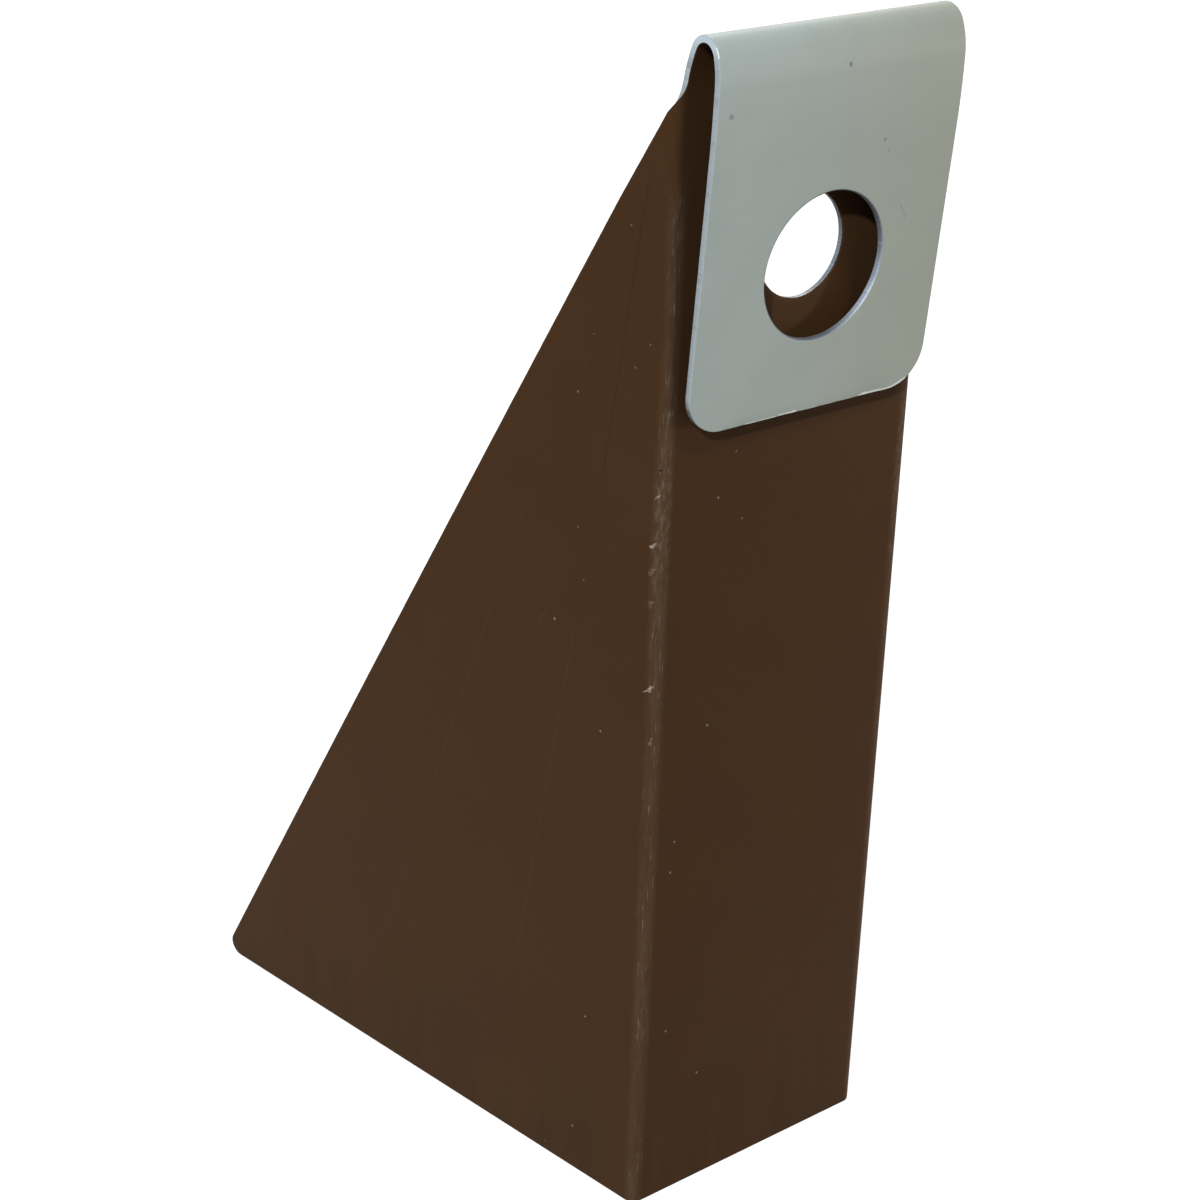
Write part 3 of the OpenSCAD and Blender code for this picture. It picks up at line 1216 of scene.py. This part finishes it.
@dataclass(frozen=True)
class TopCoat:
    """Dark brown satin coat, rubbed along the long folds, with scratches, chips and dust.

    Lengths and heights are on the blank. The middle of the rubbed band lies past the fold's
    start by band_middle less band_drift, both given as pairs of height and distance. A pair
    of distances or heights says where a cover begins and where it is full, or the reverse.
    """

    blank: Blank
    base: Colour = (0.0508, 0.0238, 0.0102)
    rubbed: Colour = (0.087, 0.051, 0.031)
    dash: Colour = (0.190, 0.135, 0.098)
    chip: Colour = (0.36, 0.29, 0.24)
    dust: Colour = (0.25, 0.24, 0.22)
    gouge: Colour = (0.018, 0.010, 0.008)
    stained: Colour = (0.036, 0.0215, 0.0085)
    gloss: float = 0.03
    paler: Pairs = ((-18.0, 1.00), (0.0, 1.03))
    band_middle: Pairs = ((0.0, 0.62), (58.0, 0.40))
    band_drift: Pairs = ((76.0, 0.0), (98.0, 0.30))
    band_fades: tuple[float, float] = (0.12, 1.05)
    dash_fades: tuple[float, float] = (0.25, 0.80)
    scuff_fades: tuple[float, float] = (0.20, 0.98)
    scuff_starts: tuple[float, float] = (66.0, 74.0)
    scuff_ends: tuple[float, float] = (88.0, 80.0)
    wear_ends: tuple[float, float] = (111.0, 105.0)
    stain_fades: tuple[float, float] = (0.0, 20.0)
    fleck_fades: tuple[float, float] = (0.008, 0.024)
    fleck_scale: float = 0.22
    mottle: Grain = Grain(0.07, 0.07, 3.0, 0.55)
    fine: Grain = Grain(2.6, 2.6, 2.0, 0.6)
    skips: Grain = Grain(0.55, 0.55)
    drips: Grain = Grain(0.34, 0.03, 3.0, 0.5)
    ragged: Grain = Grain(5.0, 5.0, 2.0, 0.6)
    peel: Grain = Grain(1.15, 1.15)
    band_broad: Grain = Grain(0.9, 0.10, 3.0, 0.6)
    band_streaks: Grain = Grain(6.0, 0.30, 3.0, 0.65)
    band_dashes: Grain = Grain(7.5, 0.60, 1.0, 0.5)
    scuff_patches: Grain = Grain(3.4, 0.75, 4.0, 0.62)
    peel_depth: float = 0.000012
    scratch_depth: float = 0.00004

    def light_scratches(self) -> tuple[Mark, ...]:
        """The long pale scratches on the left flange."""
        sheet = SheetMap(self.blank)
        return (
            sheet.scratch(((9.16, 62.6), (16.21, 23.64)), 0.16, 0.15),
            sheet.scratch(((15.41, 75.41), (36.73, 16.77)), 0.15, 0.13),
            sheet.scratch(((24.0, 30.0), (31.5, 11.0)), 0.14, 0.08),
            sheet.scratch(((13.81, 62.24), (13.48, 63.11)), 0.16, 0.45),
            sheet.scratch(((13.48, 63.11), (12.68, 63.82)), 0.15, 0.35),
        )

    def dark_marks(self) -> tuple[Mark, ...]:
        """Lists the dark scratches on the left flange and a pit in its fold.

        Returns:
            The marks.
        """
        sheet = SheetMap(self.blank)
        pit = (-(self.blank.half_w + 0.72), 82.39)
        return (
            Mark(pit, pit, 0.19, 0.9),
            sheet.scratch(((1.47, 108.64), (5.87, 79.82)), 0.13, 0.30),
            sheet.scratch(((3.4, 104.0), (9.0, 86.0)), 0.12, 0.10),
        )

    def specks(self) -> tuple[Mark, ...]:
        """Lists the single specks of dust, clear ones first and faint ones after them.

        Returns:
            The marks.
        """
        sheet = SheetMap(self.blank)
        flange = ((5.26, 53.58), (7.75, 5.31), (6.30, 19.94), (11.66, 63.42), (9.22, 87.24))
        face = ((-8.46, 54.55), (-11.96, 42.69), (-12.3, 39.39), (-7.57, 13.42), (-12.03, 20.42),
                (-8.51, 78.29))
        places = [sheet.flange(*place) for place in flange] + list(face)
        faint = [(-6.61, 82.40), (-5.42, 75.43)]
        faint += [sheet.flange(*place) for place in (
            (8.82, 73.88), (7.95, 68.70), (0.62, 93.97), (2.36, 91.42), (3.32, 104.18))]
        return (tuple(sheet.speck(place, 0.17, 0.75) for place in places)
                + tuple(sheet.speck(place, 0.15, 0.4) for place in faint))

    def chips(self) -> tuple[Mark, ...]:
        """Lists the chips on the left long fold, given past the fold's start and up its length.

        Returns:
            The marks.
        """
        strokes = (
            ((0.88, 79.66), (0.70, 79.94), 0.11, 0.8),
            ((1.18, 74.78), (0.90, 75.08), 0.14, 0.9),
            ((1.12, 72.05), (0.95, 72.60), 0.22, 0.2),
            ((1.05, 68.80), (1.00, 69.30), 0.20, 0.2),
            ((1.35, 59.90), (0.95, 60.12), 0.10, 0.7),
            ((0.90, 60.12), (0.74, 60.60), 0.17, 0.95),
            ((0.66, 54.45), (0.60, 55.10), 0.12, 0.3),
        )
        fold = self.blank.half_w
        return tuple(Mark((-(fold + start[0]), start[1]), (-(fold + end[0]), end[1]), width, strength)
                     for start, end, width, strength in strokes)

    def wear(self, graph: ShaderGraph, at: bpy.types.NodeSocket, beyond: bpy.types.NodeSocket,
             v: bpy.types.NodeSocket) -> tuple[bpy.types.NodeSocket, bpy.types.NodeSocket]:
        """Draws the wear along both long folds.

        A soft rubbed band follows the fold, with fine upright dashes in it, and a scuffed
        stretch below the front plate spreads past the band.

        Args:
            graph: the material's nodes.
            at: the blank's (u, v) in millimetres.
            beyond: distance past the start of the fold.
            v: height on the blank.

        Returns:
            The cover of the rubbed band and of the bright dashes.
        """
        middle = graph.math("SUBTRACT", graph.ramp(v, self.band_middle, smooth=False),
                            graph.ramp(v, self.band_drift))
        off = graph.math("ABSOLUTE", graph.math("SUBTRACT", beyond, middle))
        broad = graph.grain(at, self.band_broad)
        streaks = graph.grain(at, self.band_streaks)
        band = graph.times(graph.between(off, *self.band_fades, 1.0, 0.0),
                           graph.between(streaks, 0.30, 0.66, 0.40, 0.95))
        band = graph.times(band, graph.between(broad, 0.34, 0.62, 0.62, 1.0))
        dashes = graph.times(graph.between(graph.grain(at, self.band_dashes), 0.60, 0.72, 0.0, 0.65),
                             graph.between(off, *self.dash_fades, 1.0, 0.0))
        dashes = graph.times(dashes, graph.between(broad, 0.42, 0.58, 0.15, 1.0))
        scuff = graph.times(graph.between(v, *self.scuff_starts), graph.between(v, *self.scuff_ends))
        scuff = graph.times(scuff, graph.between(off, *self.scuff_fades, 1.0, 0.0))
        patches = graph.grain(at, self.scuff_patches)
        ragged = graph.times(scuff, graph.between(patches, 0.34, 0.60, 0.1, 1.0))
        bright = graph.times(scuff, graph.between(patches, 0.45, 0.74, 0.0, 0.42))
        fade = graph.between(v, *self.wear_ends)
        return graph.times(graph.most(band, ragged), fade), graph.times(graph.most(dashes, bright), fade)

    def material(self) -> bpy.types.Material:
        """Builds the coat's nodes.

        Returns:
            The material.
        """
        graph = ShaderGraph(bpy.data.materials.new("brown_topcoat"))
        at = graph.blank_uv()
        u, v, _ = graph.split(at)
        beyond = graph.math("SUBTRACT", graph.math("ABSOLUTE", u), self.blank.half_w)
        shaken = graph.shaken(at, 1.4, 0.3)

        mottle = graph.grain(at, self.mottle)
        tone = graph.math("ADD", graph.between(mottle, 0.3, 0.7, 0.965, 1.035),
                          graph.between(graph.grain(at, self.fine), 0.2, 0.8, -0.06, 0.06))
        colour = graph.scaled(self.base, graph.times(tone, graph.ramp(u, self.paler)))

        rub, dashes = self.wear(graph, at, beyond, v)
        colour = graph.blend(rub, colour, self.rubbed)
        colour = graph.blend(dashes, colour, self.dash)
        stain = graph.times(graph.between(v, *self.stain_fades, 1.0, 0.0),
                            graph.between(graph.grain(at, self.drips), 0.40, 0.66, 0.0, 0.50))
        colour = graph.blend(stain, colour, self.stained)

        pale = graph.times(graph.strokes(shaken, self.light_scratches()),
                           graph.between(graph.grain(at, self.skips), 0.35, 0.6, 0.35, 1.0))
        colour = graph.blend(pale, colour, self.rubbed)
        dark = graph.strokes(shaken, self.dark_marks())
        colour = graph.blend(dark, colour, self.gouge)

        cells = graph.node("ShaderNodeTexVoronoi", feature="F1")
        graph.feed(cells.inputs["Vector"], at)
        graph.feed(cells.inputs["Scale"], self.fleck_scale)
        chosen = graph.split(cells.outputs["Color"])[0]
        flecks = graph.times(graph.between(cells.outputs["Distance"], *self.fleck_fades, 1.0, 0.0),
                             graph.between(chosen, 0.72, 0.98))
        dusty = graph.most(graph.strokes(shaken, self.specks()), graph.times(flecks, 0.5))
        colour = graph.blend(dusty, colour, self.dust)
        chipped = graph.times(graph.strokes(graph.shaken(at, 3.6, 0.6), self.chips()),
                              graph.between(graph.grain(at, self.ragged), 0.36, 0.50, 0.35, 1.0))
        colour = graph.blend(chipped, colour, self.chip)

        scratched = graph.math("SUBTRACT", 1.0, graph.most(dark, pale, chipped))
        normal = graph.bump(graph.grain(at, self.peel), self.peel_depth)
        normal = graph.bump(scratched, self.scratch_depth, 0.8, normal)
        roughness = graph.math("ADD", graph.between(mottle, 0.3, 0.7, 0.40, 0.46), graph.times(rub, 0.12))
        graph.principled(Base_Color=colour, Roughness=roughness, Normal=normal,
                         Specular_IOR_Level=self.gloss)
        return graph.owner


@dataclass(frozen=True)
class BackCoat:
    """Grey-green satin coat of the sheet's other side, with a few dark specks and scuffs."""

    blank: Blank
    base: Colour = (0.336, 0.373, 0.362)
    warmer: Colour = (0.308, 0.326, 0.284)
    speck: Colour = (0.10, 0.10, 0.105)
    scuffed: Colour = (0.36, 0.39, 0.40)
    burr: Colour = (0.78, 0.80, 0.78)
    gloss: float = 0.15
    warms: tuple[float, float] = (-12.0, 14.0)
    mottle: Grain = Grain(0.11, 0.11, 3.0, 0.5)
    fine: Grain = Grain(3.4, 3.4, 2.0, 0.6)
    peel: Grain = Grain(0.9, 0.9)
    peel_depth: float = 0.00001

    def dark_marks(self) -> tuple[Mark, ...]:
        """Lists the dark specks and one fine short scratch on the front plate.

        Returns:
            The marks.
        """
        sheet = SheetMap(self.blank)
        specks = (((0.38, -0.64), 0.30, 0.8), ((-12.89, 2.28), 0.42, 0.5), ((5.47, 6.71), 0.26, 0.6),
                  ((6.1, 7.81), 0.20, 0.5))
        marks = [sheet.speck(sheet.plate(*place), size, strength) for place, size, strength in specks]
        marks.append(Mark(sheet.plate(8.5, 13.2), sheet.plate(9.4, 14.6), 0.09, 0.35))
        return tuple(marks)

    def pale_marks(self) -> tuple[Mark, ...]:
        """Pale scuffs on the rolled top."""
        sheet = SheetMap(self.blank)
        return (
            Mark(sheet.plate(-3.1, -3.7), sheet.plate(-1.6, -3.5), 0.22, 0.25),
            Mark(sheet.plate(-9.6, -3.3), sheet.plate(-7.8, -3.1), 0.50, 0.25),
        )

    def burrs(self) -> tuple[Mark, ...]:
        """Lists the bare burrs along the front plate's edge and one at the roll's left side.

        Returns:
            The marks.
        """
        sheet = SheetMap(self.blank)
        edge = self.blank.plate_l
        side = self.blank.half_w
        return (
            Mark(sheet.plate(-7.4, edge), sheet.plate(-2.0, edge), 0.17, 0.9),
            Mark(sheet.plate(-0.6, edge), sheet.plate(3.0, edge), 0.10, 0.5),
            Mark(sheet.plate(6.7, edge - 0.05), sheet.plate(10.6, edge - 0.05), 0.20, 0.8),
            Mark(sheet.plate(10.6, edge - 0.05), sheet.plate(12.5, edge - 0.7), 0.16, 0.7),
            Mark(sheet.plate(-3.3, edge - 0.1), sheet.plate(-1.4, edge - 0.1), 0.19, 0.7),
            Mark(sheet.plate(7.0, edge - 0.12), sheet.plate(9.2, edge - 0.12), 0.23, 0.8),
            Mark(sheet.plate(-side, -3.1), sheet.plate(-side, -2.6), 0.13, 1.0),
        )

    def material(self) -> bpy.types.Material:
        """Builds the coat's nodes.

        Returns:
            The material.
        """
        graph = ShaderGraph(bpy.data.materials.new("grey_green_backcoat"))
        at = graph.blank_uv()
        mottle = graph.grain(at, self.mottle)
        tone = graph.math("ADD", graph.between(mottle, 0.3, 0.7, 0.975, 1.025),
                          graph.between(graph.grain(at, self.fine), 0.2, 0.8, -0.02, 0.02))
        across = graph.between(graph.split(at)[0], *self.warms)
        colour = graph.scaled(graph.blend(across, self.base, self.warmer), tone)
        shaken = graph.shaken(at, 2.0, 0.3)
        colour = graph.blend(graph.strokes(shaken, self.pale_marks()), colour, self.scuffed)
        colour = graph.blend(graph.strokes(shaken, self.dark_marks()), colour, self.speck)
        colour = graph.blend(graph.strokes(graph.shaken(at, 3.4, 0.25), self.burrs()), colour, self.burr)
        graph.principled(Base_Color=colour, Roughness=graph.between(mottle, 0.3, 0.7, 0.46, 0.52),
                         Normal=graph.bump(graph.grain(at, self.peel), self.peel_depth),
                         Specular_IOR_Level=self.gloss)
        return graph.owner


@dataclass(frozen=True)
class CutEdge:
    """Bare steel where the sheet was cut, brightest on the roll, between two heights in metres."""

    bright: Colour = (0.30, 0.358, 0.390)
    dull: Colour = (0.22, 0.250, 0.262)
    burnished: Colour = (0.41, 0.50, 0.56)
    burnishes: tuple[float, float] = (0.1188, 0.1212)
    metallic: float = 0.8
    lines: Grain = Grain(3.5, 3.5, 3.0, 0.6)
    broad: Grain = Grain(0.5, 0.5)
    line_depth: float = 0.00001

    def material(self) -> bpy.types.Material:
        """Builds the metal's nodes.

        Returns:
            The material.
        """
        graph = ShaderGraph(bpy.data.materials.new("bare_cut_edge"))
        at = graph.blank_uv()
        lines = graph.grain(at, self.lines)
        share = graph.times(graph.between(lines, 0.35, 0.62, 0.8, 0.0),
                            graph.between(graph.grain(at, self.broad), 0.35, 0.65, 0.4, 1.0))
        top = graph.between(graph.place()[2], *self.burnishes)
        colour = graph.blend(top, graph.blend(share, self.bright, self.dull), self.burnished)
        graph.principled(Base_Color=colour, Metallic=self.metallic,
                         Roughness=graph.between(lines, 0.3, 0.7, 0.34, 0.50),
                         Normal=graph.bump(lines, self.line_depth))
        return graph.owner


@dataclass(frozen=True)
class PunchedEdge:
    """Speckled steel of the two punched holes, dulled by dragged paint, least on the right.

    The paint lies thick at the first height of cleans and is gone at the second. The steel
    brightens from left to right, as the brightens pairs of x and share give. All are in metres.
    """

    dull: Colour = (0.075, 0.080, 0.100)
    grey: Colour = (0.30, 0.34, 0.40)
    bright: Colour = (0.41, 0.45, 0.50)
    cleans: tuple[float, float] = (0.1045, 0.0950)
    brightens: Pairs = ((0.0010, 0.40), (0.0068, 1.30))
    metallic: float = 0.3
    speckle: Grain = Grain(6.0, 6.0, 3.0, 0.7)
    speckle_depth: float = 0.00002

    def material(self) -> bpy.types.Material:
        """Builds the metal's nodes.

        Returns:
            The material.
        """
        graph = ShaderGraph(bpy.data.materials.new("punched_edge"))
        x, _, z = graph.place()
        clean = graph.between(z, *self.cleans)
        speckle = graph.grain(graph.blank_uv(), self.speckle)
        sparkle = graph.times(graph.between(speckle, 0.50, 0.66), graph.between(clean, 0.0, 1.0, 0.15, 1.0))
        colour = graph.blend(sparkle, graph.blend(clean, self.dull, self.grey), self.bright)
        graph.principled(Base_Color=graph.scaled(colour, graph.ramp(x, self.brightens)),
                         Metallic=self.metallic, Roughness=graph.between(speckle, 0.3, 0.7, 0.60, 0.45),
                         Normal=graph.bump(speckle, self.speckle_depth))
        return graph.owner


@dataclass(frozen=True)
class Lamp:
    """A square lamp far off: its direction from the wedge, in degrees, and sizes in metres.

    Its level is the share of its light that a white surface facing it sends back.
    """

    name: str
    azimuth: float
    elevation: float
    distance: float
    side: float
    level: float
    colour: Colour
    aim: tuple[float, float, float] = (0.0, 0.02, 0.06)

    def light(self) -> bpy.types.Object:
        """Hangs the lamp. Its power is level pi^2 distance^2, as for any flat lamp.

        Returns:
            The lamp.
        """
        data = bpy.data.lights.new(self.name, "AREA")
        data.shape = "SQUARE"
        data.size = self.side
        data.energy = self.level * (np.pi * self.distance) ** 2
        data.color = self.colour
        lamp = bpy.data.objects.new(self.name, data)
        bpy.context.scene.collection.objects.link(lamp)
        back = direction(self.azimuth, self.elevation)
        place = tuple(np.array(self.aim) + self.distance * back)
        lamp.matrix_world = oriented(place, back, 0.0)
        return lamp


def direction(azimuth: float, elevation: float) -> np.ndarray:
    """Gives the way from the wedge: azimuth from -Y towards +X and elevation, in degrees."""
    turn, rise = np.radians(azimuth), np.radians(elevation)
    return np.array([np.sin(turn) * np.cos(rise), -np.cos(turn) * np.cos(rise), np.sin(rise)])


def oriented(place: tuple[float, float, float], back: np.ndarray, roll: float) -> Matrix:
    """Builds an object's matrix from its place, its +Z direction and its roll.

    Its X is level, square to +Z and the vertical, and its Y square to both. The roll then
    turns X towards Y.

    Args:
        place: where it stands, in metres.
        back: its +Z, of length 1.
        roll: the turn about +Z, in radians.

    Returns:
        The 4 by 4 matrix.
    """
    right = np.cross((0.0, 0.0, 1.0), back)
    right = right / np.linalg.norm(right)
    up = np.cross(back, right)
    turned_right = np.cos(roll) * right + np.sin(roll) * up
    turned_up = np.cos(roll) * up - np.sin(roll) * right
    matrix = np.eye(4)
    matrix[:3, 0], matrix[:3, 1], matrix[:3, 2], matrix[:3, 3] = turned_right, turned_up, back, place
    return Matrix(matrix.tolist())


@dataclass(frozen=True)
class Viewpoint:
    """The camera: its place in millimetres, its direction in degrees and its lens."""

    place: tuple[float, float, float] = (-141.21, -151.905, 162.67)
    azimuth: float = -38.125
    elevation: float = 25.277
    roll: float = 1.591
    lens: float = 71.24
    sensor: float = 36.0

    def stand(self) -> None:
        """Sets the camera up, looking along the photograph's direction."""
        data = bpy.data.cameras.new("camera")
        data.lens = self.lens
        data.sensor_width = self.sensor
        data.sensor_fit = "HORIZONTAL"
        data.clip_start = 0.005
        camera = bpy.data.objects.new("camera", data)
        bpy.context.scene.collection.objects.link(camera)
        place = tuple(np.array(self.place) * MM)
        back = direction(self.azimuth, self.elevation)
        camera.matrix_world = oriented(place, back, np.radians(self.roll))
        bpy.context.scene.camera = camera


@dataclass(frozen=True)
class Studio:
    """A white floor and surroundings, and five lamps.

    The cool key comes from the upper left, a warm lamp low from the right and a soft one
    from above. The side lamp lights the left flange, and the last one the back.
    """

    floor_side: float = 4.0
    floor_colour: Colour = (0.25, 0.25, 0.25)
    floor_glow: float = 0.87
    ambient: float = 0.10
    lamps: tuple[Lamp, ...] = (
        Lamp("key", -52.0, 34.5, 2.5, 0.12, 0.79, (0.90, 0.97, 1.0)),
        Lamp("low", 49.0, -2.0, 0.7, 0.07, 0.26, (1.0, 0.92, 0.78)),
        Lamp("top", 15.0, 57.0, 2.0, 0.40, 0.29, (1.0, 0.98, 0.95)),
        Lamp("side", -100.0, 20.0, 2.0, 0.30, 0.37, (1.0, 0.96, 0.88)),
        Lamp("behind", 140.0, 40.0, 2.0, 0.40, 0.55, (1.0, 0.98, 0.95)),
    )

    def floor(self) -> None:
        """Lays the floor: pale, with a glow that lights nothing, so that shadows stay."""
        half = self.floor_side / 2
        across = np.linspace(-half, half, 3)
        corners = np.concatenate([grid(across, across), np.zeros((3, 3, 1))], axis=-1).reshape(-1, 3)
        quads = [(row * 3 + column, row * 3 + column + 1, row * 3 + column + 4, row * 3 + column + 3)
                 for row in range(2) for column in range(2)]
        mesh = bpy.data.meshes.new("floor")
        mesh.from_pydata(corners.tolist(), [], quads)
        floor = bpy.data.objects.new("floor", mesh)
        bpy.context.scene.collection.objects.link(floor)
        graph = ShaderGraph(bpy.data.materials.new("white_floor"))
        diffuse = graph.node("ShaderNodeBsdfDiffuse")
        graph.feed(diffuse.inputs["Color"], self.floor_colour)
        glow = graph.node("ShaderNodeEmission")
        graph.feed(glow.inputs["Strength"], graph.times(graph.seen(), self.floor_glow))
        both = graph.node("ShaderNodeAddShader")
        graph.feed(both.inputs[0], diffuse.outputs[0])
        graph.feed(both.inputs[1], glow.outputs[0])
        graph.feed(graph.output.inputs["Surface"], both.outputs[0])
        mesh.materials.append(graph.owner)

    def surroundings(self) -> None:
        """Makes the world white to the camera and in reflections, and softer as a light."""
        graph = ShaderGraph(bpy.data.worlds.new("white_room"))
        strength = graph.between(graph.seen(), 0.0, 1.0, self.ambient, 1.0, smooth=False)
        background = graph.node("ShaderNodeBackground")
        graph.feed(background.inputs["Color"], (1.0, 1.0, 1.0))
        graph.feed(background.inputs["Strength"], strength)
        graph.feed(graph.output.inputs["Surface"], background.outputs[0])
        bpy.context.scene.world = graph.owner

    def build(self) -> None:
        """Lights the scene and sets the plain colour transform."""
        self.floor()
        self.surroundings()
        for lamp in self.lamps:
            lamp.light()
        bpy.context.scene.view_settings.view_transform = "Standard"


def main() -> None:
    """Builds the camera, the studio and the sheet."""
    logging.basicConfig(level=logging.INFO, format="%(name)s: %(message)s")
    Viewpoint().stand()
    Studio().build()
    piece = FoldedSheet().build()
    LOG.info("%s stands for %s", piece.name, NODE)


if __name__ == "__main__":
    main()
